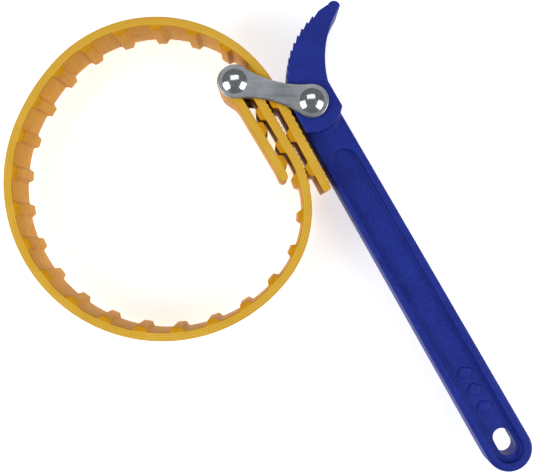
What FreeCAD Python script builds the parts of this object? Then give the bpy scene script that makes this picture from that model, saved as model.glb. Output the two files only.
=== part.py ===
"""Oil filter wrench: a die-cast claw handle, two steel link plates, two rivets and a ribbed belt.

Frame: the tool lies flat, belt width along Z, mid-plane at Z = 0. The origin is the centre of the
belt loop, +Z is the filter's axis, and +X points from the loop towards the handle.
The belt is one moulding. It is cut at the thin web between neighbouring ribs, and each cut is a
round knuckle on the belt's mid-line, so that the loop can close and open as the real belt does.
"""
import FreeCAD
import Part
import Sketcher
import math
import os

Vector = FreeCAD.Vector
doc = FreeCAD.newDocument("oil_filter_wrench")

# --- driving dimensions, in mm and degrees -----------------------------------------------------
DIMENSIONS = [
    # belt section
    ("belt_width", 25.0),
    ("belt_thickness", 3.5),
    ("rib_height", 2.0),
    ("rib_base", 6.2),
    ("rib_top", 3.9),
    # belt route, from the pin round the loop to the free end
    ("anchor_x", 31.4),
    ("anchor_y", 39.2),
    ("strand_angle", 59.0),
    ("strand_length", 37.0),
    ("lead_in_radius", 43.0),
    ("lead_in_turn", 67.0),
    ("lower_radius", 62.0),
    ("lower_turn", 167.0),
    ("side_radius", 82.0),
    ("side_turn", 19.0),
    ("free_angle", 61.5),
    ("free_clearance", 1.9),
    ("first_rib", 16.3),
    ("fixed_ribs", 2),
    ("loop_ribs", 23),
    ("free_ribs", 3),
    ("free_lead", -4.05),
    ("free_tail", 10.8),
    ("knuckle_clearance", 0.08),
    # belt eye and its short tail
    ("eye_bulge", 0.65),
    ("eye_offset", 0.5),
    ("tail_spacing", 7.1),
    ("tail_thickness", 3.6),
    ("tail_bend", 10.0),
    ("tail_length", 42.6),
    ("tail_rib_shift", 2.6),
    # pins, plates and running clearances
    ("pin_radius", 2.9),
    ("tenon_radius", 2.4),
    ("running_clearance", 0.05),
    ("side_clearance", 0.15),
    ("belt_side_clearance", 0.25),
    ("plate_thickness", 2.0),
    ("plate_end_radius", 6.8),
    ("plate_side_radius", 41.0),
    ("plate_edge", 0.6),
    ("rivet_head_radius", 4.9),
    ("rivet_head_height", 2.1),
    ("rear_head_radius", 4.2),
    ("rear_head_height", 1.5),
    # link and handle places
    ("link_length", 31.75),
    ("link_angle", 14.0),
    ("shank_angle", 60.1),
    # handle head and claw
    ("boss_margin", 4.39),
    ("cheek_gap", 1.45),
    ("back_offset", 9.9),
    ("back_start", 4.0),
    ("back_radius", 39.0),
    ("belly_radius", 33.5),
    ("claw_length", 30.4),
    ("claw_rise", 25.0),
    ("claw_tip_length", 2.8),
    ("claw_tip_height", 4.0),
    ("claw_tip_radius", 2.6),
    ("tooth_pitch", 5.6),
    ("tooth_depth", 0.85),
    ("tooth_count", 10),
    ("tooth_start", 244.0),
    ("head_edge", 0.8),
    ("boss_fillet", 2.0),
    # handle shank
    ("shank_length", 162.6),
    ("shank_thickness", 13.0),
    ("shank_end_radius", 9.6),
    ("shank_lower_taper", 0.6),
    ("shank_upper_taper", 0.25),
    ("shank_edge", 1.4),
    ("recess_start", 28.1),
    ("rim_width", 3.7),
    ("recess_depth", 2.3),
    ("recess_floor_fillet", 1.2),
    ("recess_rim_fillet", 0.6),
    ("slot_radius", 3.7),
    ("slot_length", 11.8),
    ("slot_end", 161.9),
]

sheet = doc.addObject("Spreadsheet::Sheet", "Sizes")
for row, (alias, number) in enumerate(DIMENSIONS, start=1):
    sheet.set("A%d" % row, alias)
    sheet.set("B%d" % row, str(number))
    sheet.setAlias("B%d" % row, alias)
doc.recompute()


class Size:
    """A number together with the sheet expression that gives it."""

    def __init__(self, value, text):
        self.value = float(value)
        self.text = text

    @staticmethod
    def of(other):
        return other if isinstance(other, Size) else Size(other, repr(float(other)))

    def __add__(self, other):
        other = Size.of(other)
        return Size(self.value + other.value, "(%s + %s)" % (self.text, other.text))

    def __sub__(self, other):
        other = Size.of(other)
        return Size(self.value - other.value, "(%s - %s)" % (self.text, other.text))

    def __mul__(self, other):
        other = Size.of(other)
        return Size(self.value * other.value, "(%s * %s)" % (self.text, other.text))

    def __truediv__(self, other):
        other = Size.of(other)
        return Size(self.value / other.value, "(%s / %s)" % (self.text, other.text))

    def __neg__(self):
        return Size(-self.value, "(0 - %s)" % self.text)

    def root(self):
        return Size(math.sqrt(self.value), "sqrt(%s)" % self.text)

    def sine(self):
        return Size(math.sin(math.radians(self.value)), "sin(%s)" % self.text)

    def cosine(self):
        return Size(math.cos(math.radians(self.value)), "cos(%s)" % self.text)


def size(alias):
    return Size(getattr(sheet, alias), "Sizes." + alias)


def number(alias):
    return float(getattr(sheet, alias))


zero = Size(0, "0")

# --- heights shared by every piece -------------------------------------------------------------
half_gap = size("belt_width") / 2 + size("belt_side_clearance")
plate_outer = half_gap + size("plate_thickness")
head_half = half_gap - size("side_clearance")
link_hole = size("tenon_radius") + size("running_clearance")
pivot_bore = size("pin_radius") + size("running_clearance")

# the handle pivot, from the belt anchor along the link
pivot_x = size("anchor_x") + size("link_length") * size("link_angle").cosine()
pivot_y = size("anchor_y") - size("link_length") * size("link_angle").sine()

# distance from the pivot to the belt's free strand, and the head's flat cheek beside it
free_normal_x = size("free_angle").sine()
free_normal_y = size("free_angle").cosine()
free_offset = (pivot_bore + size("belt_thickness") * 1.5 + size("rib_height")
               + size("free_clearance"))
strand_to_pivot = ((pivot_x - size("anchor_x")) * free_normal_x
                   + (pivot_y - size("anchor_y")) * free_normal_y - free_offset)
cheek = strand_to_pivot - size("belt_thickness") / 2 - size("cheek_gap")
boss_radius = cheek + size("boss_margin")

sub_parts = []


# --- sketch and feature helpers ----------------------------------------------------------------
def new_body(name):
    body = doc.addObject("PartDesign::Body", name)
    body.Label = name
    sub_parts.append(body)
    return body


def place(body, x, y, z, turn):
    body.Placement = FreeCAD.Placement(Vector(x.value, y.value, z.value),
                                       FreeCAD.Rotation(Vector(0, 0, 1), turn.value))
    body.setExpression("Placement.Base.x", x.text)
    body.setExpression("Placement.Base.y", y.text)
    body.setExpression("Placement.Base.z", z.text)
    body.setExpression("Placement.Rotation.Angle", turn.text)


def origin_feature(body, role):
    return [item for item in body.Origin.OriginFeatures if item.Role == role][0]


def new_sketch(body, name, plane="XY_Plane", centre=None, height=None):
    sketch = body.newObject("Sketcher::SketchObject", name)
    sketch.AttachmentSupport = (origin_feature(body, plane), [""])
    sketch.MapMode = "FlatFace"
    if centre:
        sketch.setExpression("AttachmentOffset.Base.x", centre[0].text)
        sketch.setExpression("AttachmentOffset.Base.y", centre[1].text)
    if height:
        sketch.setExpression("AttachmentOffset.Base.z", height.text)
    return sketch


def bind(sketch, constraint, text):
    index = sketch.addConstraint(constraint)
    sketch.setExpression("Constraints[%d]" % index, text)


def pin_point(sketch, geometry, end, point):
    """Holds one end of a sketch edge at a place that the sheet gives."""
    Constraint = Sketcher.Constraint
    bind(sketch, Constraint("DistanceX", -1, 1, geometry, end, point[0].value), point[0].text)
    bind(sketch, Constraint("DistanceY", -1, 1, geometry, end, point[1].value), point[1].text)


def arc_between(start, end, radius, clockwise, centre_x=None):
    """The arc of a radius from start to end, as geometry and its (first, last) ends. It is the
    short way round, unless the X of its centre says otherwise."""
    middle = (start + end) * 0.5
    along = end - start
    half = along.Length / 2
    rise = math.sqrt(max(radius * radius - half * half, 0.0))
    normal = Vector(-along.y, along.x, 0).normalize() * (-rise if clockwise else rise)
    centre = middle + normal
    other = middle - normal
    if centre_x is not None and abs(other.x - centre_x) < abs(centre.x - centre_x):
        centre = other
    circle = Part.Circle(centre, Vector(0, 0, 1), radius)
    first = math.atan2(start.y - centre.y, start.x - centre.x)
    last = math.atan2(end.y - centre.y, end.x - centre.x)
    if clockwise:
        return Part.ArcOfCircle(circle, last, first), (2, 1)
    return Part.ArcOfCircle(circle, first, last), (1, 2)


def draw_outline(sketch, corners):
    """A closed outline. Each corner is (x, y, edge), where edge describes the way to the next one:
    None for straight, or (radius, clockwise) for an arc. An arc of half a turn or more is held by
    the X of its centre, given third."""
    Constraint = Sketcher.Constraint
    count = len(corners)
    points = [Vector(x.value, y.value, 0) for x, y, edge in corners]
    ends = []
    for index, (x, y, edge) in enumerate(corners):
        start = points[index]
        finish = points[(index + 1) % count]
        if edge is None:
            ends.append((sketch.addGeometry(Part.LineSegment(start, finish)), (1, 2)))
        else:
            centre_x = edge[2].value if len(edge) == 3 else None
            arc, arc_ends = arc_between(start, finish, edge[0].value, edge[1], centre_x)
            ends.append((sketch.addGeometry(arc), arc_ends))
    for index in range(count):
        here, here_ends = ends[index]
        after, after_ends = ends[(index + 1) % count]
        sketch.addConstraint(Constraint("Coincident", here, here_ends[1], after, after_ends[0]))
    for index, (x, y, edge) in enumerate(corners):
        geometry, geometry_ends = ends[index]
        pin_point(sketch, geometry, geometry_ends[0], (x, y))
        if edge is None:
            continue
        if len(edge) == 3:
            middle = edge[2]
            bind(sketch, Constraint("DistanceX", -1, 1, geometry, 3, middle.value), middle.text)
        else:
            bind(sketch, Constraint("Radius", geometry, edge[0].value), edge[0].text)


def draw_circle(sketch, x, y, radius):
    circle = Part.Circle(Vector(x.value, y.value, 0), Vector(0, 0, 1), radius.value)
    geometry = sketch.addGeometry(circle)
    pin_point(sketch, geometry, 3, (x, y))
    bind(sketch, Sketcher.Constraint("Radius", geometry, radius.value), radius.text)


def extrude(body, kind, name, sketch, length, symmetric=False):
    feature = body.newObject("PartDesign::" + kind, name)
    feature.Profile = sketch
    feature.setExpression("Length", length.text)
    feature.SideType = "Symmetric" if symmetric else "One side"
    doc.recompute()
    return feature


def round_edges(body, name, wanted, radius, kind="Fillet"):
    """Rounds every edge of the body's tip that the test accepts."""
    doc.recompute()
    base = body.Tip
    edges = ["Edge%d" % index for index, edge in enumerate(base.Shape.Edges, start=1)
             if wanted(edge)]
    feature = body.newObject("PartDesign::" + kind, name)
    feature.Base = (base, edges)
    feature.setExpression("Radius" if kind == "Fillet" else "Size", radius.text)
    doc.recompute()
    return feature


def lies_at(edge, height):
    box = edge.BoundBox
    return abs(box.ZMin - height) < 1e-6 and abs(box.ZMax - height) < 1e-6


def has_radius(edge, radius):
    return abs(edge.Curve.Radius - radius) < 1e-6


# --- handle ------------------------------------------------------------------------------------
def cut_teeth(body, belly_start, belly_end):
    """Saw teeth across the claw's belly: one notch, repeated about the belly's centre."""
    belly = size("belly_radius")
    across = belly_end[0] - belly_start[0]
    up = belly_end[1] - belly_start[1]
    chord = (across * across + up * up).root()
    rise = (belly * belly - chord * chord / 4).root()
    centre = ((belly_start[0] + belly_end[0]) / 2 - up * rise / chord,
              (belly_start[1] + belly_end[1]) / 2 + across * rise / chord)
    outside = belly + 1.0
    floor = belly - size("tooth_depth")
    riser = size("tooth_start")
    flank_end = riser - size("tooth_pitch") * 0.94
    sketch = new_sketch(body, "tooth_notch", centre=centre)
    draw_outline(sketch, [
        (outside * riser.cosine(), outside * riser.sine(), None),
        (outside * flank_end.cosine(), outside * flank_end.sine(), None),
        (belly * flank_end.cosine(), belly * flank_end.sine(), None),
        (floor * riser.cosine(), floor * riser.sine(), None),
    ])
    notch = extrude(body, "Pocket", "tooth_gap", sketch, head_half * 2 + 2, symmetric=True)
    teeth = body.newObject("PartDesign::PolarPattern", "teeth")
    teeth.Originals = [notch]
    teeth.Axis = (sketch, ["N_Axis"])
    teeth.Mode = "Spacing"
    teeth.Reversed = True
    teeth.setExpression("Offset", size("tooth_pitch").text)
    teeth.setExpression("Occurrences", size("tooth_count").text)
    body.Tip = teeth
    doc.recompute()


def make_shank(body):
    """Recessed bar from inside the boss to the hang slot."""
    end = size("shank_end_radius")
    reach = size("shank_length")
    thick = size("shank_thickness")
    lower = size("shank_lower_taper")
    upper = size("shank_upper_taper")
    outline = new_sketch(body, "shank_outline")
    draw_outline(outline, [
        (zero, (reach * lower.sine() - end) / lower.cosine(), None),
        (reach - end * lower.sine(), -end * lower.cosine(), (end, False, reach)),
        (reach - end * upper.sine(), end * upper.cosine(), None),
        (zero, (end - reach * upper.sine()) / upper.cosine(), None),
    ])
    extrude(body, "Pad", "shank", outline, thick, symmetric=True)
    rim = thick.value / 2
    floor = rim - number("recess_depth")
    inner = end - size("rim_width")

    def at_rim(edge):
        return lies_at(edge, rim) or lies_at(edge, -rim)

    def recess_rim(edge):
        box = edge.BoundBox
        return at_rim(edge) and max(box.YMax, -box.YMin) < inner.value + 1e-6

    round_edges(body, "shank_edges", at_rim, size("shank_edge"))
    recess = new_sketch(body, "recess_outline", height=thick / 2)
    draw_outline(recess, [
        (size("recess_start"), -inner, None),
        (reach, -inner, (inner, False, reach)),
        (reach, inner, None),
        (size("recess_start"), inner, (inner, False, size("recess_start"))),
    ])
    front = extrude(body, "Pocket", "front_recess", recess, size("recess_depth"))
    rear = body.newObject("PartDesign::Mirrored", "rear_recess")
    rear.Originals = [front]
    rear.MirrorPlane = (origin_feature(body, "XY_Plane"), [""])
    body.Tip = rear
    round_edges(body, "recess_floor", lambda edge: lies_at(edge, floor) or lies_at(edge, -floor),
                size("recess_floor_fillet"))
    round_edges(body, "recess_rim", recess_rim, size("recess_rim_fillet"))

    slot = size("slot_radius")
    far = size("slot_end")
    near = far - size("slot_length") + slot * 2
    hole = new_sketch(body, "hang_slot_outline")
    draw_outline(hole, [
        (near, -slot, None),
        (far, -slot, (slot, False, far)),
        (far, slot, None),
        (near, slot, (slot, False, near)),
    ])
    extrude(body, "Pocket", "hang_slot", hole, thick * 2, symmetric=True)


def make_head(body):
    """Round boss, flat cheek beside the belt, and the claw with its toothed belly."""
    boss = boss_radius
    back = size("back_offset")
    cheek_x = (boss * boss - cheek * cheek).root()
    back_x = (boss * boss - back * back).root()
    tip = (-size("claw_length"), size("claw_rise"))
    crown = (tip[0] + size("claw_tip_length"), tip[1] + size("claw_tip_height"))
    belly_end = (Size(-1.0, "-1"), -cheek)
    outline = new_sketch(body, "head_outline")
    draw_outline(outline, [
        (cheek_x, -cheek, (boss, False)),
        (back_x, back, None),
        (-size("back_start"), back, (size("back_radius"), True)),
        (crown[0], crown[1], (size("claw_tip_radius"), False)),
        (tip[0], tip[1], (size("belly_radius"), False)),
        (belly_end[0], belly_end[1], None),
    ])
    extrude(body, "Pad", "head", outline, head_half * 2, symmetric=True)
    cut_teeth(body, tip, belly_end)

    def smooth_edge(edge):
        if not (lies_at(edge, head_half.value) or lies_at(edge, -head_half.value)):
            return False
        if edge.Curve.TypeId == "Part::GeomCircle" and has_radius(edge, number("belly_radius")):
            return False
        return edge.Length > back.value

    round_edges(body, "head_edges", smooth_edge, size("head_edge"))

    def foot_edge(edge):
        rim = number("shank_thickness") / 2
        flat = lies_at(edge, rim) or lies_at(edge, -rim)
        return flat and edge.Curve.TypeId == "Part::GeomCircle" and has_radius(edge, boss.value)

    round_edges(body, "boss_foot", foot_edge, size("boss_fillet"))


def make_handle():
    """One casting. The body's own X runs from the pivot down the shank; the belt side is -Y."""
    body = new_body("handle")
    make_shank(body)
    make_head(body)
    bore = new_sketch(body, "pivot_circle")
    draw_circle(bore, zero, zero, pivot_bore)
    extrude(body, "Pocket", "pivot_bore", bore, head_half * 4, symmetric=True)
    place(body, pivot_x, pivot_y, zero, -size("shank_angle"))
    return body


# --- link plates and rivets --------------------------------------------------------------------
def make_plate(name, height):
    """Dog-bone plate from the anchor rivet to the handle rivet, with rounded outer edges."""
    body = new_body(name)
    length = size("link_length")
    end = size("plate_end_radius")
    side = size("plate_side_radius")
    away = side + end
    side_y = (away * away - length * length / 4).root()
    touch_x = length / 2 * end / away
    touch_y = side_y * end / away
    outline = new_sketch(body, name + "_outline")
    draw_outline(outline, [
        (touch_x, -touch_y, (side, True)),
        (length - touch_x, -touch_y, (end, False, length)),
        (length - touch_x, touch_y, (side, True)),
        (touch_x, touch_y, (end, False, zero)),
    ])
    extrude(body, "Pad", name + "_blank", outline, size("plate_thickness"))
    holes = new_sketch(body, name + "_holes")
    draw_circle(holes, zero, zero, link_hole)
    draw_circle(holes, length, zero, link_hole)
    extrude(body, "Pocket", name + "_punch", holes, size("plate_thickness") * 4, symmetric=True)
    outer = number("plate_thickness") if height.value > 0 else 0.0
    reach = number("plate_end_radius")

    def outer_edge(edge):
        on_hole = edge.BoundBox.DiagonalLength < reach
        return lies_at(edge, outer) and not on_hole

    round_edges(body, name + "_edges", outer_edge, size("plate_edge"))
    place(body, size("anchor_x"), size("anchor_y"), height, -size("link_angle"))
    return body


def make_rivet(name, x, y):
    """Shouldered rivet: domed front head, shoulder between the plates, flat formed rear head."""
    body = new_body(name)
    pin = size("pin_radius")
    tenon = size("tenon_radius")
    front = size("rivet_head_radius")
    rear = size("rear_head_radius")
    crown = plate_outer + size("rivet_head_height")
    rear_face = -plate_outer - size("rear_head_height")
    skirt = size("rivet_head_height") * 0.2
    rise = size("rivet_head_height") - skirt
    dome = (front * front + rise * rise) / rise / 2
    profile = new_sketch(body, name + "_profile", plane="XZ_Plane")
    draw_outline(profile, [
        (zero, rear_face, None),
        (rear * 0.8, rear_face, None),
        (rear, rear_face + size("rear_head_height") * 0.5, None),
        (rear, -plate_outer, None),
        (tenon, -plate_outer, None),
        (tenon, -half_gap, None),
        (pin, -half_gap, None),
        (pin, half_gap, None),
        (tenon, half_gap, None),
        (tenon, plate_outer, None),
        (front, plate_outer, None),
        (front, plate_outer + skirt, (dome, False)),
        (zero, crown, None),
    ])
    turned = body.newObject("PartDesign::Revolution", name + "_turned")
    turned.Profile = profile
    turned.ReferenceAxis = (profile, ["V_Axis"])
    turned.Angle = 360
    doc.recompute()
    place(body, x, y, zero, zero)
    return body


# --- belt --------------------------------------------------------------------------------------
def heading_vector(heading):
    return Vector(math.cos(heading), math.sin(heading), 0)


def left_of(heading):
    return Vector(-math.sin(heading), math.cos(heading), 0)


class Route:
    """The belt's mid-line as tangent straights and arcs, walked by its length.
    An arc's radius is positive when it turns right, towards the loop's inside."""

    def __init__(self, start, heading):
        self.pieces = []
        self.end = start
        self.heading = heading
        self.length = 0.0

    def straight(self, length):
        self.pieces.append((self.length, length, self.end, self.heading, None))
        self.end = self.end + heading_vector(self.heading) * length
        self.length += length

    def arc(self, radius, turn):
        self.pieces.append((self.length, abs(radius) * turn, self.end, self.heading, radius))
        centre = self.end - left_of(self.heading) * radius
        self.heading -= math.copysign(turn, radius)
        self.end = centre + left_of(self.heading) * radius
        self.length += abs(radius) * turn

    def at(self, distance):
        """The point and the heading at a distance along the route."""
        for start, length, point, heading, radius in self.pieces:
            if distance <= start + length + 1e-9:
                break
        along = distance - start
        if radius is None:
            return point + heading_vector(heading) * along, heading
        centre = point - left_of(heading) * radius
        turned = heading - along / radius
        return centre + left_of(turned) * radius, turned

    def side(self, first, last, offset):
        """Edges that run beside the mid-line from first to last, offset to its left."""
        edges = []
        for start, length, point, heading, radius in self.pieces:
            low = max(first, start)
            high = min(last, start + length)
            if high - low < 1e-6:
                continue
            places = [self.at(distance) for distance in (low, (low + high) / 2, high)]
            spots = [spot + left_of(turned) * offset for spot, turned in places]
            if radius is None:
                edges.append(Part.makeLine(spots[0], spots[2]))
            else:
                edges.append(Part.Arc(*spots).toShape())
        return edges


def belt_route():
    """From beside the anchor pin, down the fixed strand, round the loop and out along the free
    strand. The last arc's radius is the one that ends tangent to the free strand."""
    anchor = Vector(number("anchor_x"), number("anchor_y"), 0)
    heading = -math.radians(number("strand_angle"))
    eye_middle = pivot_bore.value + number("belt_thickness") / 2
    route = Route(anchor + left_of(heading) * eye_middle, heading)
    route.straight(number("strand_length"))
    for arc in ("lead_in", "lower", "side"):
        route.arc(number(arc + "_radius"), math.radians(number(arc + "_turn")))
    free_heading = -math.radians(number("free_angle")) - 2 * math.pi
    outward = left_of(free_heading)
    reach = free_offset.value - (route.end - anchor).dot(outward)
    closing_radius = reach / (outward - left_of(route.heading)).dot(outward)
    route.arc(closing_radius, route.heading - free_heading)
    route.straight(number("belt_width") * 4)
    return route


def tail_route():
    """The short tail beyond the pin: it closes up to the fixed strand and then runs beside it."""
    anchor = Vector(number("anchor_x"), number("anchor_y"), 0)
    heading = -math.radians(number("strand_angle"))
    start = pivot_bore.value + number("tail_thickness") / 2
    strand = pivot_bore.value + number("belt_thickness") / 2
    bend = number("tail_bend")
    shift = start + strand - number("tail_spacing")
    turn = math.acos(1 - shift / bend / 2)
    route = Route(anchor - left_of(heading) * start, heading)
    route.arc(-bend, turn)
    route.arc(bend, turn)
    beside = number("strand_length") - 2 * bend * math.sin(turn)
    route.straight(beside)
    inside = number("lead_in_radius") - number("tail_spacing")
    remaining = number("tail_length") - number("strand_length")
    route.arc(inside, remaining / inside)
    return route, 2 * bend * (turn - math.sin(turn))


belt = belt_route()
curved_length = belt.length - number("belt_width") * 4
first_rib = number("first_rib")
fixed_ribs = int(number("fixed_ribs"))
loop_ribs = int(number("loop_ribs"))
free_ribs = int(number("free_ribs"))
free_start = curved_length + number("free_lead")
rib_pitch = (free_start - first_rib) / (fixed_ribs + loop_ribs - 0.5)


def rib_place(index):
    return first_rib + index * rib_pitch


def web_place(index):
    """The middle of the web before rib number index."""
    return rib_place(index) - rib_pitch / 2


def band(route, first, last, thickness):
    """The plain belt between two distances along a route."""
    outer = route.side(first, last, thickness / 2)
    inner = route.side(first, last, -thickness / 2)
    caps = [Part.makeLine(outer[0].firstVertex(True).Point, inner[0].firstVertex(True).Point),
            Part.makeLine(outer[-1].lastVertex(True).Point, inner[-1].lastVertex(True).Point)]
    wire = Part.Wire(Part.sortEdges(outer + inner + caps)[0])
    return full_width(Part.Face(wire))


def full_width(face):
    width = number("belt_width")
    face.translate(Vector(0, 0, -width / 2))
    return face.extrude(Vector(0, 0, width))


def round_bar(centre, radius):
    width = number("belt_width")
    return Part.makeCylinder(radius, width, centre - Vector(0, 0, width / 2))


def rib(route, distance, thickness, side):
    """A tapered cross rib on one side of the belt, sunk a little into it."""
    point, heading = route.at(distance)
    along = heading_vector(heading)
    away = left_of(heading) * side
    sunk = thickness / 4
    foot = thickness / 2
    crown = foot + number("rib_height")
    base = number("rib_base") / 2
    top = number("rib_top") / 2
    profile = [(-base, sunk), (-base, foot), (-top, crown), (top, crown), (base, foot), (base, sunk)]
    corners = [point + along * x + away * y for x, y in profile]
    return full_width(Part.Face(Part.makePolygon(corners + corners[:1])))


def add_belt_piece(name, shape):
    piece = doc.addObject("Part::Feature", name)
    piece.Label = name
    piece.Shape = shape.removeSplitter()
    piece.Placement = FreeCAD.Placement()
    sub_parts.append(piece)


def socket(distance):
    """The round hollow that takes the next piece's knuckle."""
    radius = number("belt_thickness") / 2 + number("knuckle_clearance")
    return round_bar(belt.at(distance)[0], radius)


def knuckle(distance):
    return round_bar(belt.at(distance)[0], number("belt_thickness") / 2)


def make_belt_anchor():
    """Eye round the anchor pin, fixed strand with its first ribs, and the short round-ended tail."""
    thickness = number("belt_thickness")
    anchor = Vector(number("anchor_x"), number("anchor_y"), 0)
    heading = -math.radians(number("strand_angle"))
    eye = pivot_bore.value + thickness
    tail, bend_extra = tail_route()
    tail_thickness = number("tail_thickness")
    bulge_centre = anchor - left_of(heading) * number("eye_offset")
    last = web_place(fixed_ribs)
    pieces = [band(belt, 0.0, last, thickness), round_bar(anchor, eye),
              round_bar(bulge_centre, eye + number("eye_bulge")),
              band(tail, 0.0, tail.length, tail_thickness),
              round_bar(tail.end, tail_thickness / 2)]
    pieces += [rib(belt, rib_place(index), thickness, -1) for index in range(fixed_ribs)]
    shift = bend_extra - number("tail_rib_shift")
    pieces += [rib(tail, web_place(index) + shift, tail_thickness, 1)
               for index in range(1, fixed_ribs + 1)]
    solid = pieces[0].fuse(pieces[1:])
    solid = solid.cut([round_bar(anchor, pivot_bore.value), socket(last)])
    add_belt_piece("belt_anchor", solid)


def make_belt_link(order):
    """One rib with its stretch of belt, round at its start and hollow at its end."""
    thickness = number("belt_thickness")
    index = fixed_ribs + order - 1
    first = web_place(index)
    last = web_place(index + 1)
    solid = band(belt, first, last, thickness)
    solid = solid.fuse([rib(belt, rib_place(index), thickness, -1), knuckle(first)])
    add_belt_piece("belt_link_%02d" % order, solid.cut(socket(last)))


def make_belt_free_end():
    """The straight strand that leaves the loop between the eye and the claw."""
    thickness = number("belt_thickness")
    index = fixed_ribs + loop_ribs
    first = web_place(index)
    last = rib_place(index + free_ribs - 1) + number("free_tail")
    ribs = [rib(belt, rib_place(index + extra), thickness, -1) for extra in range(free_ribs)]
    add_belt_piece("belt_free_end", band(belt, first, last, thickness).fuse(ribs + [knuckle(first)]))


# --- build, check and write --------------------------------------------------------------------
make_handle()
make_plate("front_link_plate", half_gap)
make_plate("rear_link_plate", -plate_outer)
make_rivet("handle_rivet", pivot_x, pivot_y)
make_rivet("anchor_rivet", size("anchor_x"), size("anchor_y"))
make_belt_anchor()
for order in range(1, loop_ribs + 1):
    make_belt_link(order)
make_belt_free_end()
doc.recompute()

for item in doc.Objects:
    if "Invalid" in item.State or "Error" in item.State:
        raise RuntimeError("failed feature: " + item.Label)
for item in sub_parts:
    if item.Shape.isNull() or not item.Shape.isValid():
        raise RuntimeError("bad shape: " + item.Label)

os.makedirs("parts", exist_ok=True)
for item in sub_parts:
    item.Shape.exportStep("parts/" + item.Label + ".step")
    print("%-18s %2d solid %9.1f mm3" % (item.Label, len(item.Shape.Solids), item.Shape.Volume))
print("curved belt %.1f mm, rib pitch %.2f mm" % (curved_length, rib_pitch))
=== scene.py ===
"""Looks for the oil filter wrench: a ribbed belt drawn as one strip, painted casting, steel link."""
import math

import bpy
import numpy as np
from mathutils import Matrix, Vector


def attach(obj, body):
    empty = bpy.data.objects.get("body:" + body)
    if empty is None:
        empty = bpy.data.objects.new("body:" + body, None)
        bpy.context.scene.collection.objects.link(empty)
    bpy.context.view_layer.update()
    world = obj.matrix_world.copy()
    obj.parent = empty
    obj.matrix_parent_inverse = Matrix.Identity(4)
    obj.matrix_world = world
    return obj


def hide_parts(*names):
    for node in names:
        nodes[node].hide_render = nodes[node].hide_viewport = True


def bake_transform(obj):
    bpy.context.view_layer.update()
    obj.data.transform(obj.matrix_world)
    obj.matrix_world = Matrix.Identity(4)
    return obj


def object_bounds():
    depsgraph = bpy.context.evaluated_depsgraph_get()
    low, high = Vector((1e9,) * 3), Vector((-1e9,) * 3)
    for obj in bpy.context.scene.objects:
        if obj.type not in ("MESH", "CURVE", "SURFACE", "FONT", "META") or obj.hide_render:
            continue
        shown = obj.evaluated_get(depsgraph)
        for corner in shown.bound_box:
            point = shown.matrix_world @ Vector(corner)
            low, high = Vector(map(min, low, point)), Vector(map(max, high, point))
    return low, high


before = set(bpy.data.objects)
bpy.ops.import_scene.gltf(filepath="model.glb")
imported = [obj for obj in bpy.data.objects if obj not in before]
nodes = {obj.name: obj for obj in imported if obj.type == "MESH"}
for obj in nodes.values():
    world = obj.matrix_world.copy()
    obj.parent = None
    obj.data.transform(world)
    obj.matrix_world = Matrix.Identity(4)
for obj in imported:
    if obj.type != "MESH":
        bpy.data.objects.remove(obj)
cad_box = [list(corner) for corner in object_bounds()]
scene = bpy.context.scene

MM = 0.001

# --- belt sizes, in mm and degrees, as in the design --------------------------------------------
WIDTH = 25.0
THICKNESS = 3.5
RIB_HEIGHT = 2.0
RIB_BASE = 6.2
RIB_TOP = 3.9
PIN = 2.95
ANCHOR = (31.4, 39.2)
LINK_LENGTH = 31.75
LINK_ANGLE = 14.0
SHANK_ANGLE = 60.1
STRAND_ANGLE = 59.0
STRAND_LENGTH = 37.0
LOOP_ARCS = ((43.0, 67.0), (62.0, 167.0), (82.0, 19.0))
FREE_ANGLE = 61.5
FREE_OFFSET = 12.1
FIRST_RIB = 16.3
FIXED_RIBS = 2
LOOP_RIBS = 23
FREE_RIBS = 3
FREE_LEAD = -4.05
FREE_TAIL = 10.8
EYE_BULGE = 0.65
EYE_OFFSET = 0.5
TAIL_SPACING = 7.1
TAIL_THICKNESS = 3.6
TAIL_BEND = 10.0
TAIL_LENGTH = 42.6
TAIL_RIB_SHIFT = 2.6
PIVOT = (ANCHOR[0] + LINK_LENGTH * math.cos(math.radians(LINK_ANGLE)),
         ANCHOR[1] - LINK_LENGTH * math.sin(math.radians(LINK_ANGLE)))


def heading_vector(heading):
    return np.array((math.cos(heading), math.sin(heading)))


def left_of(heading):
    return np.array((-math.sin(heading), math.cos(heading)))


class Route:
    """Tangent straights and arcs walked by length. A positive radius turns right."""

    def __init__(self, start, heading):
        self.pieces = []
        self.end = np.array(start, float)
        self.heading = heading
        self.length = 0.0

    def straight(self, length):
        self.pieces.append((self.length, length, self.end, self.heading, None))
        self.end = self.end + heading_vector(self.heading) * length
        self.length += length

    def arc(self, radius, turn):
        self.pieces.append((self.length, abs(radius) * turn, self.end, self.heading, radius))
        centre = self.end - left_of(self.heading) * radius
        self.heading -= math.copysign(turn, radius)
        self.end = centre + left_of(self.heading) * radius
        self.length += abs(radius) * turn

    def at(self, distance):
        for start, length, point, heading, radius in self.pieces:
            if distance <= start + length + 1e-9:
                break
        along = distance - start
        if radius is None:
            return point + heading_vector(heading) * along, heading
        centre = point - left_of(heading) * radius
        turned = heading - along / radius
        return centre + left_of(turned) * radius, turned


def belt_route():
    heading = -math.radians(STRAND_ANGLE)
    anchor = np.array(ANCHOR)
    route = Route(anchor + left_of(heading) * (PIN + THICKNESS / 2), heading)
    route.straight(STRAND_LENGTH)
    for radius, turn in LOOP_ARCS:
        route.arc(radius, math.radians(turn))
    free_heading = -math.radians(FREE_ANGLE) - 2 * math.pi
    outward = left_of(free_heading)
    reach = FREE_OFFSET - (route.end - anchor) @ outward
    closing = reach / ((outward - left_of(route.heading)) @ outward)
    route.arc(closing, route.heading - free_heading)
    curved = route.length
    route.straight(WIDTH * 4)
    return route, curved


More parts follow.
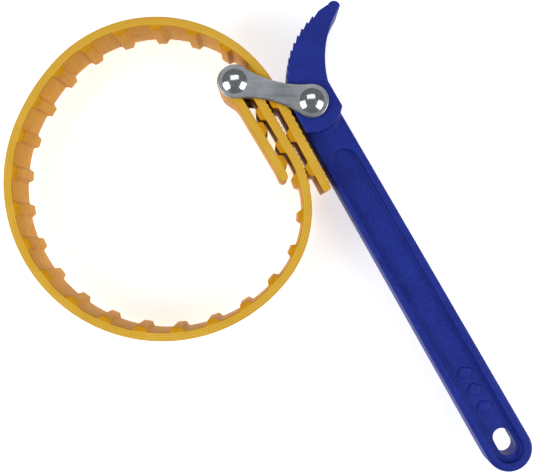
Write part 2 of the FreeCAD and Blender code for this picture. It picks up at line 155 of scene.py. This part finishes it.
def tail_route():
    heading = -math.radians(STRAND_ANGLE)
    start = PIN + TAIL_THICKNESS / 2
    strand = PIN + THICKNESS / 2
    shift = start + strand - TAIL_SPACING
    turn = math.acos(1 - shift / TAIL_BEND / 2)
    route = Route(np.array(ANCHOR) - left_of(heading) * start, heading)
    route.arc(-TAIL_BEND, turn)
    route.arc(TAIL_BEND, turn)
    route.straight(STRAND_LENGTH - 2 * TAIL_BEND * math.sin(turn))
    inside = LOOP_ARCS[0][0] - TAIL_SPACING
    route.arc(inside, (TAIL_LENGTH - STRAND_LENGTH) / inside)
    return route, 2 * TAIL_BEND * (turn - math.sin(turn))


belt, curved_length = belt_route()
tail, tail_extra = tail_route()
rib_pitch = (curved_length + FREE_LEAD - FIRST_RIB) / (FIXED_RIBS + LOOP_RIBS - 0.5)


def rib_place(index):
    return FIRST_RIB + index * rib_pitch


def web_place(index):
    return rib_place(index) - rib_pitch / 2


belt_end = rib_place(FIXED_RIBS + LOOP_RIBS + FREE_RIBS - 1) + FREE_TAIL
RIBS = [rib_place(index) for index in range(FIXED_RIBS + LOOP_RIBS + FREE_RIBS)]
TAIL_RIBS = [web_place(index) + tail_extra - TAIL_RIB_SHIFT for index in range(1, FIXED_RIBS + 1)]

# --- belt surface -------------------------------------------------------------------------------
EDGE_ROUND = 0.4
RIB_ROUND = 0.55
CORNER_POINTS = 4
RING_POINTS = 4 * CORNER_POINTS
FINE_STEP = 0.26
PLAIN_STEP = 0.32
TAIL_STEP = 0.3
TIP_STEP = 0.08
SHARP_ANGLE = math.radians(50)
UV_PER_MM = 0.1
# where the strip's UV starts on the tail, and how much of it the turn round the pin takes
TAIL_UV_START = -20
EYE_UV_SPAN = 16
EYE_STEPS = 40
CAP_STEPS = 8
# serrations on the fixed strand, then on the free one: first and last place, pitch, height
GRIP_B = (7.5, 52.0, 2.1, 0.42)
GRIP_C = (curved_length - 3.0, belt_end - 1.0, 2.95, 0.5)


def soft_limit(value, low, high, blur):
    """Clamps smoothly, which rounds the two corners of a ramp."""
    value = blur * np.logaddexp(0.0, (value - low) / blur) + low
    return high - blur * np.logaddexp(0.0, (high - value) / blur)


def rib_profile(offset):
    """Height of a trapezoid rib at a distance from its middle, with rounded corners."""
    slope = RIB_HEIGHT / ((RIB_BASE - RIB_TOP) / 2)
    raw = (RIB_BASE / 2 - abs(offset)) * slope
    return float(np.clip(soft_limit(raw, 0.0, RIB_HEIGHT, RIB_ROUND / 4), 0.0, RIB_HEIGHT))


def rib_height(distance, places):
    return max([rib_profile(distance - place) for place in places] + [0.0])


def grip(distance):
    """Height of the fine rounded serrations on the outer face."""
    height = 0.0
    for first, last, pitch, deep in (GRIP_B, GRIP_C):
        if first < distance < last:
            fade = min(1.0, (distance - first) / pitch, (last - distance) / pitch)
            wave = abs(math.sin(math.pi * (distance - first) / pitch))
            height = deep * fade * wave ** 0.8
    return height


def stations(first, last, fine):
    count = max(2, int(round((last - first) / fine)))
    return list(np.linspace(first, last, count + 1))


def ring(outer, inner, half_width):
    """A rounded rectangle across the belt: (offset from the mid-line, height) pairs."""
    round_by = min(EDGE_ROUND, (outer - inner) * 0.45)
    corners = ((outer, half_width, 0), (inner, half_width, 1),
               (inner, -half_width, 2), (outer, -half_width, 3))
    points = []
    for across, high, quarter in corners:
        side = 1 if across == outer else -1
        up = 1 if high > 0 else -1
        middle = (across - side * round_by, high - up * round_by)
        for step in range(CORNER_POINTS):
            angle = math.pi / 2 * (quarter + step / (CORNER_POINTS - 1))
            points.append((middle[0] + round_by * math.cos(angle),
                           middle[1] + round_by * math.sin(angle)))
    return points


def sweep(name, samples):
    """A closed strip. Each sample is (point, heading, distance, outer, inner)."""
    verts, faces, flat = [], [], []
    for point, heading, distance, outer, inner in samples:
        side = left_of(heading)
        for across, high in ring(outer, inner, WIDTH / 2):
            place = point + side * across
            verts.append((place[0] * MM, place[1] * MM, high * MM))
            flat.append((distance * UV_PER_MM, across * UV_PER_MM))
    size = RING_POINTS
    for index in range(len(samples) - 1):
        low = index * size
        for corner in range(size):
            after = (corner + 1) % size
            faces.append((low + corner, low + size + corner, low + size + after, low + after))
    faces.append(tuple(range(size)))
    faces.append(tuple(reversed(range(len(verts) - size, len(verts)))))
    mesh = bpy.data.meshes.new(name)
    mesh.from_pydata(verts, [], faces)
    layer = mesh.uv_layers.new(name="strip")
    for loop in mesh.loops:
        layer.data[loop.index].uv = flat[loop.vertex_index]
    mesh.validate()
    mesh.update()
    for polygon in mesh.polygons:
        polygon.use_smooth = len(polygon.vertices) == 4
    obj = bpy.data.objects.new(name, mesh)
    bpy.context.collection.objects.link(obj)
    mesh.set_sharp_from_angle(angle=SHARP_ANGLE)
    return obj


def strip_sample(distance):
    point, heading = belt.at(distance)
    outer = THICKNESS / 2 + grip(distance)
    inner = -THICKNESS / 2 - rib_height(distance, RIBS)
    end = belt_end - distance
    if end < EDGE_ROUND:
        pull = EDGE_ROUND - math.sqrt(max(EDGE_ROUND ** 2 - (EDGE_ROUND - end) ** 2, 0.0))
        outer -= pull
        inner += pull
    return point, heading, distance, outer, inner


def eye_samples():
    """Tail tip, back along the tail, round the pin and down the fixed strand to its last rib."""
    samples = []
    half = TAIL_THICKNESS / 2
    for distance in stations(-half, tail.length, TAIL_STEP)[::-1]:
        back = tail.length - distance
        if distance < 0:
            continue
        point, heading = tail.at(distance)
        outer = half
        inner = -half - rib_height(distance, TAIL_RIBS)
        samples.append((point, heading + math.pi, TAIL_UV_START - distance, outer, inner))
    tip, tip_heading = tail.at(tail.length)
    cap = []
    for step in range(1, CAP_STEPS + 1):
        angle = math.pi / 2 * step / CAP_STEPS
        reach = half * math.sin(angle)
        thin = max(half * math.cos(angle), 0.05)
        cap.append((tip + heading_vector(tip_heading) * reach, tip_heading + math.pi,
                    TAIL_UV_START - tail.length - reach, thin, -thin))
    samples = cap[::-1] + samples
    anchor = np.array(ANCHOR)
    start = -math.radians(STRAND_ANGLE) + math.pi
    for step in range(1, EYE_STEPS):
        share = step / EYE_STEPS
        heading = start - math.pi * share
        thick = TAIL_THICKNESS + (THICKNESS - TAIL_THICKNESS) * share
        radius = PIN + thick / 2
        outward = left_of(heading)
        bulge = -left_of(-math.radians(STRAND_ANGLE)) * EYE_OFFSET
        lean = outward @ bulge
        rim = PIN + THICKNESS + EYE_BULGE
        reach = lean + math.sqrt(rim ** 2 - bulge @ bulge + lean ** 2)
        ease = math.sin(math.pi * share) ** 0.5
        outer = thick / 2 + max(0.0, reach - PIN - thick) * ease
        place = TAIL_UV_START + EYE_UV_SPAN * share
        samples.append((anchor + outward * radius, heading, place, outer, -thick / 2))
    for distance in stations(0.0, rib_place(FIXED_RIBS - 1), FINE_STEP):
        samples.append(strip_sample(distance))
    return samples


bodies = ["belt_anchor"] + ["belt_link_%02d" % k for k in range(1, LOOP_RIBS + 1)]
bodies.append("belt_free_end")
belt_pieces = []

eye = sweep("belt_eye_strip", eye_samples())
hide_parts("belt_anchor")
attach(eye, "belt_anchor")
belt_pieces.append(eye)

# how far each side of a web the loop below takes two points on the belt, in mm; nothing uses those
# points
BEND = 3.6
for order in range(1, len(bodies)):
    first = rib_place(order)
    last = rib_place(order + 1)
    serrated = order < 4 or order > 22
    fine = FINE_STEP if serrated else PLAIN_STEP
    piece = sweep("belt_strip_%02d" % order, [strip_sample(d) for d in stations(first, last, fine)])
    middle = web_place(order + 1)
    ends = [belt.at(middle + shift)[0] * MM for shift in (-BEND, BEND)]
    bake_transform(piece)
    if order < len(bodies) - 1:
        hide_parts(bodies[order])
    belt_pieces.append(piece)

tip_first = rib_place(len(bodies))
tip = sweep("belt_tip_strip", [strip_sample(d) for d in stations(tip_first, belt_end - 0.5, FINE_STEP)]
            + [strip_sample(d) for d in stations(belt_end - 0.4, belt_end - 0.01, TIP_STEP)])
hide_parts("belt_free_end")
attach(tip, "belt_free_end")
belt_pieces.append(tip)


# --- materials ----------------------------------------------------------------------------------
class Shader:
    """A node material under construction."""

    def __init__(self, name):
        self.material = bpy.data.materials.new(name)
        self.material.use_nodes = True
        self.tree = self.material.node_tree
        self.tree.nodes.clear()
        self.output = self.tree.nodes.new("ShaderNodeOutputMaterial")
        self.surface = self.tree.nodes.new("ShaderNodeBsdfPrincipled")
        self.link(self.surface.outputs[0], self.output.inputs["Surface"])

    def link(self, source, target):
        self.tree.links.new(source, target)

    def math(self, operation, first, second=None):
        node = self.tree.nodes.new("ShaderNodeMath")
        node.operation = operation
        for slot, value in enumerate((first, second)):
            if value is None:
                continue
            if isinstance(value, (int, float)):
                node.inputs[slot].default_value = value
            else:
                self.link(value, node.inputs[slot])
        return node.outputs[0]

    def mix(self, factor, first, second):
        node = self.tree.nodes.new("ShaderNodeMix")
        node.data_type = "RGBA"
        for slot, value in ((0, factor), (6, first), (7, second)):
            if isinstance(value, tuple):
                node.inputs[slot].default_value = value + (1.0,) * (4 - len(value))
            elif isinstance(value, (int, float)):
                node.inputs[slot].default_value = value
            else:
                self.link(value, node.inputs[slot])
        return node.outputs[2]

    def noise(self, coordinates, scale, detail=2.0, roughness=0.5):
        node = self.tree.nodes.new("ShaderNodeTexNoise")
        node.inputs["Scale"].default_value = scale
        node.inputs["Detail"].default_value = detail
        node.inputs["Roughness"].default_value = roughness
        self.link(coordinates, node.inputs["Vector"])
        return node.outputs["Fac"]

    def range(self, value, low, high, first=0.0, second=1.0):
        node = self.tree.nodes.new("ShaderNodeMapRange")
        self.link(value, node.inputs["Value"])
        for slot, number in (("From Min", low), ("From Max", high), ("To Min", first),
                             ("To Max", second)):
            node.inputs[slot].default_value = number
        return node.outputs["Result"]

    def bump(self, height, strength, distance, before=None):
        node = self.tree.nodes.new("ShaderNodeBump")
        node.inputs["Strength"].default_value = strength
        node.inputs["Distance"].default_value = distance
        self.link(height, node.inputs["Height"])
        if before is not None:
            self.link(before, node.inputs["Normal"])
        return node.outputs["Normal"]

    def place(self):
        return self.tree.nodes.new("ShaderNodeTexCoord").outputs["Object"]

    def turned(self, coordinates, turn, scale):
        node = self.tree.nodes.new("ShaderNodeMapping")
        node.inputs["Rotation"].default_value = (0.0, 0.0, turn)
        node.inputs["Scale"].default_value = scale
        self.link(coordinates, node.inputs["Vector"])
        return node.outputs["Vector"]

    def up(self):
        """How much the surface faces along Z, from either side."""
        normal = self.tree.nodes.new("ShaderNodeNewGeometry").outputs["Normal"]
        split = self.tree.nodes.new("ShaderNodeSeparateXYZ")
        self.link(normal, split.inputs[0])
        return self.math("ABSOLUTE", split.outputs[2])

    def set(self, **values):
        for key, value in values.items():
            self.surface.inputs[key.replace("_", " ")].default_value = value


def paint_material():
    """Sprayed enamel over a sand-cast skin."""
    shader = Shader("handle_enamel")
    place = shader.place()
    blotch = shader.noise(place, 90.0, 3.0)
    grain = shader.noise(place, 1500.0, 3.0, 0.6)
    speck = shader.noise(place, 3800.0, 1.0)
    base = shader.mix(shader.range(blotch, 0.35, 0.65), (0.009, 0.020, 0.215), (0.014, 0.030, 0.290))
    base = shader.mix(shader.range(grain, 0.42, 0.68), base, (0.020, 0.040, 0.330))
    base = shader.mix(shader.range(speck, 0.66, 0.76, 0.0, 0.55), base, (0.050, 0.075, 0.380))
    shader.link(base, shader.surface.inputs["Base Color"])
    shader.link(shader.range(grain, 0.3, 0.7, 0.42, 0.56), shader.surface.inputs["Roughness"])
    skin = shader.bump(grain, 0.35, 0.00018)
    skin = shader.bump(shader.noise(place, 420.0, 2.0), 0.3, 0.0004, skin)
    shader.link(skin, shader.surface.inputs["Normal"])
    shader.set(Metallic=0.0, Specular_IOR_Level=0.16)
    return shader.material


def plate_material():
    """Tumbled steel plate with a faint grain along its length."""
    shader = Shader("link_plate_steel")
    place = shader.place()
    grain = shader.noise(shader.turned(place, math.radians(LINK_ANGLE), (60.0, 1400.0, 300.0)), 1.0, 4.0)
    cloud = shader.noise(place, 160.0, 4.0, 0.6)
    pit = shader.noise(place, 2600.0, 2.0)
    base = shader.mix(shader.range(cloud, 0.35, 0.7), (0.34, 0.36, 0.39), (0.46, 0.48, 0.51))
    base = shader.mix(shader.range(grain, 0.4, 0.75, 0.0, 0.35), base, (0.60, 0.62, 0.65))
    shader.link(base, shader.surface.inputs["Base Color"])
    rough = shader.math("ADD", shader.range(grain, 0.3, 0.7, 0.26, 0.36),
                        shader.range(cloud, 0.3, 0.7, 0.0, 0.1))
    shader.link(rough, shader.surface.inputs["Roughness"])
    shader.link(shader.bump(pit, 0.15, 0.00008, shader.bump(grain, 0.12, 0.00006)),
                shader.surface.inputs["Normal"])
    shader.set(Metallic=1.0)
    return shader.material


def rivet_material():
    """Bright plated rivet with light handling marks."""
    shader = Shader("rivet_plating")
    place = shader.place()
    cloud = shader.noise(place, 500.0, 4.0, 0.6)
    scuff = shader.noise(shader.turned(place, 0.7, (300.0, 2600.0, 900.0)), 1.0, 3.0)
    base = shader.mix(shader.range(cloud, 0.35, 0.7), (0.62, 0.63, 0.65), (0.76, 0.77, 0.79))
    shader.link(base, shader.surface.inputs["Base Color"])
    shader.link(shader.range(scuff, 0.35, 0.75, 0.10, 0.24), shader.surface.inputs["Roughness"])
    shader.link(shader.bump(scuff, 0.06, 0.00005), shader.surface.inputs["Normal"])
    shader.set(Metallic=1.0)
    return shader.material


def belt_material():
    """Moulded belt: plies show on its edges, faces are lightly ribbed; the rib ends get a deeper tone
    that is painted shade, and walls turned sideways get a darker colour that is mostly painted shade.
    """
    shader = Shader("belt_moulding")
    strip = shader.tree.nodes.new("ShaderNodeUVMap")
    strip.uv_map = "strip"
    split = shader.tree.nodes.new("ShaderNodeSeparateXYZ")
    shader.link(strip.outputs[0], split.inputs[0])
    along, across = split.outputs[0], split.outputs[1]
    place = shader.place()
    cloud = shader.noise(place, 55.0, 4.0, 0.6)
    mottle = shader.noise(place, 420.0, 3.0, 0.6)
    grain = shader.noise(place, 2200.0, 2.0)

    wander = shader.math("MULTIPLY", shader.math("SUBTRACT", shader.noise(shader.turned(
        strip.outputs[0], 0.0, (1.4, 0.2, 1.0)), 1.0), 0.5), 0.03)
    layer = shader.math("ADD", across, wander)
    ply = shader.math("SINE", shader.math("MULTIPLY", layer, 2 * math.pi / 0.088))
    lines = shader.range(ply, 0.35, 0.95)
    # faces turned along Z take the edge colours; faces turned sideways take the darker skin colour,
    # which is mostly painted shade
    face = shader.range(shader.up(), 0.75, 0.97)
    rib = shader.range(across, -0.165, -0.19)

    # darker skin colour for the walls turned sideways: mostly painted shade, with the moulding's own
    # mottle
    skin = shader.mix(shader.range(cloud, 0.3, 0.7), (0.56, 0.250, 0.005), (0.66, 0.310, 0.007))
    skin = shader.mix(shader.range(mottle, 0.4, 0.75, 0.0, 0.35), skin, (0.48, 0.200, 0.004))
    edge = shader.mix(shader.range(cloud, 0.3, 0.7), (0.78, 0.450, 0.040), (0.86, 0.530, 0.068))
    edge = shader.mix(shader.math("MULTIPLY", lines, 0.62), edge, (0.56, 0.245, 0.010))
    # deeper, more saturated orange on the rib ends: painted shade, as if the ribs sat slightly back from
    # the belt's edges
    shaded_rib_colour = shader.mix(shader.range(mottle, 0.35, 0.7), (0.74, 0.330, 0.004), (0.62, 0.265, 0.003))
    front = shader.mix(rib, edge, shaded_rib_colour)
    shader.link(shader.mix(face, skin, front), shader.surface.inputs["Base Color"])
    shader.link(shader.range(mottle, 0.3, 0.7, 0.42, 0.58), shader.surface.inputs["Roughness"])
    relief = shader.math("MULTIPLY", lines, shader.math("SUBTRACT", 1.0, rib))
    bumpy = shader.bump(shader.math("MULTIPLY", relief, face), -0.5, 0.00012)
    bumpy = shader.bump(mottle, 0.18, 0.00016, bumpy)
    shader.link(shader.bump(grain, 0.1, 0.00006, bumpy), shader.surface.inputs["Normal"])
    shader.set(Metallic=0.0, Specular_IOR_Level=0.12)
    return shader.material


enamel = paint_material()
plate_steel = plate_material()
plating = rivet_material()
moulding = belt_material()


def give(obj, material):
    obj.data.materials.clear()
    obj.data.materials.append(material)


def repaint(obj, material):
    for slot in obj.material_slots:
        slot.material = material


for piece in belt_pieces:
    give(piece, moulding)
repaint(nodes["handle"], enamel)
for name in ("front_link_plate", "rear_link_plate"):
    repaint(nodes[name], plate_steel)
for name in ("handle_rivet", "anchor_rivet"):
    repaint(nodes[name], plating)

# --- raised lozenges in the recess --------------------------------------------------------------
SHANK_HALF_DEPTH = 6.5
RECESS_DEPTH = 2.3
RECESS_FLOOR = SHANK_HALF_DEPTH - RECESS_DEPTH
LOZENGE_PLACES = (127.0, 135.0, 143.0)
LOZENGE_CORNERS = 24
LOZENGE_HALF = (2.7, 3.3)
LOZENGE_RISE = 0.7


def from_handle(along, across):
    turn = -math.radians(SHANK_ANGLE)
    return (PIVOT[0] + along * math.cos(turn) - across * math.sin(turn),
            PIVOT[1] + along * math.sin(turn) + across * math.cos(turn))


def lozenge(name, along, side):
    verts, faces = [], []
    levels = ((1.0, -0.3), (1.0, LOZENGE_RISE * 0.45), (0.93, LOZENGE_RISE * 0.85), (0.82, LOZENGE_RISE))
    corners = LOZENGE_CORNERS
    for grow, rise in levels:
        for step in range(corners):
            angle = 2 * math.pi * step / corners
            spread = (abs(math.cos(angle)) ** 1.25 + abs(math.sin(angle)) ** 1.25) ** (-1 / 1.25)
            x, y = from_handle(along + LOZENGE_HALF[0] * grow * spread * math.cos(angle),
                               LOZENGE_HALF[1] * grow * spread * math.sin(angle))
            verts.append((x * MM, y * MM, side * (RECESS_FLOOR + rise) * MM))
    for level in range(len(levels) - 1):
        for step in range(corners):
            after = (step + 1) % corners
            face = (level * corners + step, level * corners + after,
                    (level + 1) * corners + after, (level + 1) * corners + step)
            faces.append(face if side > 0 else face[::-1])
    top = tuple(range(len(verts) - corners, len(verts)))
    bottom = tuple(reversed(range(corners)))
    faces.append(top if side > 0 else top[::-1])
    faces.append(bottom if side > 0 else bottom[::-1])
    mesh = bpy.data.meshes.new(name)
    mesh.from_pydata(verts, [], faces)
    mesh.update()
    for polygon in mesh.polygons:
        polygon.use_smooth = True
    mesh.set_sharp_from_angle(angle=SHARP_ANGLE)
    obj = bpy.data.objects.new(name, mesh)
    bpy.context.collection.objects.link(obj)
    give(obj, enamel)
    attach(obj, "handle")


for index, along in enumerate(LOZENGE_PLACES):
    lozenge("recess_lozenge_front_%d" % (index + 1), along, 1)
    lozenge("recess_lozenge_rear_%d" % (index + 1), along, -1)

# --- floor, lights, camera ----------------------------------------------------------------------
LOWEST = cad_box[0][2]
CENTRE = (0.0441, -0.0229)
CAMERA_HEIGHT = 0.3545
CAMERA_VIEW = 34.7
SENSOR_WIDTH = 36.0
FLOOR_SIZE = 6.0
FLOOR_GAP = 0.0002

bpy.ops.mesh.primitive_plane_add(size=FLOOR_SIZE,
                                 location=(CENTRE[0], CENTRE[1], LOWEST - FLOOR_GAP))
floor = bpy.context.object
floor.name = "floor"
paper = Shader("floor_paper")
paper.set(Base_Color=(0.86, 0.86, 0.86, 1.0), Roughness=0.9, Emission_Color=(1.0, 1.0, 1.0, 1.0),
          Emission_Strength=0.62)
give(floor, paper.material)

world = bpy.data.worlds.new("studio")
scene.world = world
world.use_nodes = True
world.node_tree.nodes["Background"].inputs[0].default_value = (0.80, 0.83, 0.88, 1.0)
world.node_tree.nodes["Background"].inputs[1].default_value = 0.20


def softbox(name, place, aim, width, height, power):
    light = bpy.data.lights.new(name, "AREA")
    light.shape = "RECTANGLE"
    light.size = width
    light.size_y = height
    light.energy = power
    obj = bpy.data.objects.new(name, light)
    bpy.context.collection.objects.link(obj)
    obj.location = place
    obj.rotation_euler = (Vector(aim) - Vector(place)).to_track_quat("-Z", "Y").to_euler()


middle = (CENTRE[0], CENTRE[1], 0.0)
softbox("side_left", (-0.56, -0.20, 0.47), middle, 0.50, 0.46, 3.4)
softbox("side_right", (0.64, -0.20, 0.47), middle, 0.50, 0.46, 2.9)
softbox("fill_top", (0.0, 0.55, 1.0), middle, 0.9, 0.5, 2.2)

camera_data = bpy.data.cameras.new("camera")
camera_data.sensor_width = SENSOR_WIDTH
camera_data.lens = SENSOR_WIDTH / 2 / math.tan(math.radians(CAMERA_VIEW) / 2)
camera_data.clip_start = 0.01
camera_data.clip_end = 20.0
camera = bpy.data.objects.new("camera", camera_data)
bpy.context.collection.objects.link(camera)
camera.location = (CENTRE[0], CENTRE[1], CAMERA_HEIGHT)
camera.rotation_euler = (0.0, 0.0, 0.0)
scene.camera = camera
scene.view_settings.view_transform = "Standard"

bpy.context.view_layer.update()
